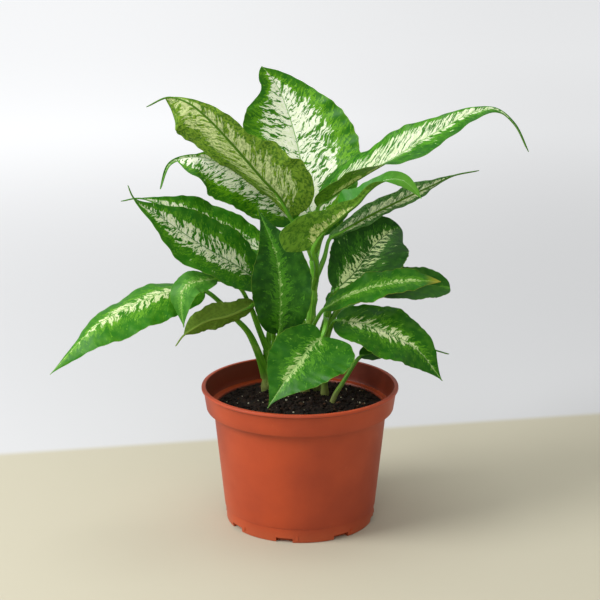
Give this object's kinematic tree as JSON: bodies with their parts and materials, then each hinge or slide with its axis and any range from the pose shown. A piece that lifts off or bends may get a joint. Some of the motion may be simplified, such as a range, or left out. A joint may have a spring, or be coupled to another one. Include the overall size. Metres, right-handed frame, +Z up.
{
  "type": "potted dieffenbachia",
  "caption": "Compact dieffenbachia with broad cream-splashed green leaves on short upright shoots, growing in a round tapered nursery pot with a deep rim band.",
  "frame": {"origin": "centre of the pot's underside, on the surface that it stands on", "axes": "+Z up; the front of the plant, as pictured, faces -Y; +X to the viewer's right"},
  "size_m": [0.383, 0.2488, 0.3714],
  "materials": {
    "pot": "satin",
    "soil": "matte",
    "cane": "satin",
    "leaf": "satin"
  },
  "bodies": {
    "root": {"pot": "pot", "soil": "soil", "cane_left": "cane", "cane_main": "cane", "cane_front": "cane", "cane_right": "cane", "leaf_top": "leaf", "leaf_upper_left": "leaf", "leaf_left_arching": "leaf", "leaf_left_broad": "leaf", "leaf_left_rear": "leaf", "leaf_lower_left": "leaf", "leaf_small_bent": "leaf", "leaf_small_olive": "leaf", "leaf_front_upright": "leaf", "leaf_front_low": "leaf", "leaf_lower_right": "leaf", "leaf_lowest_right": "leaf", "leaf_right_pointed": "leaf", "leaf_right_broad": "leaf", "leaf_right_rear": "leaf", "leaf_upper_right_long": "leaf", "leaf_centre_bent": "leaf", "leaf_right_narrow": "leaf", "leaf_rear_top": "leaf", "leaf_rear_left": "leaf", "leaf_rear_low": "leaf", "leaf_rear_right": "leaf"}
  },
  "joints": []
}
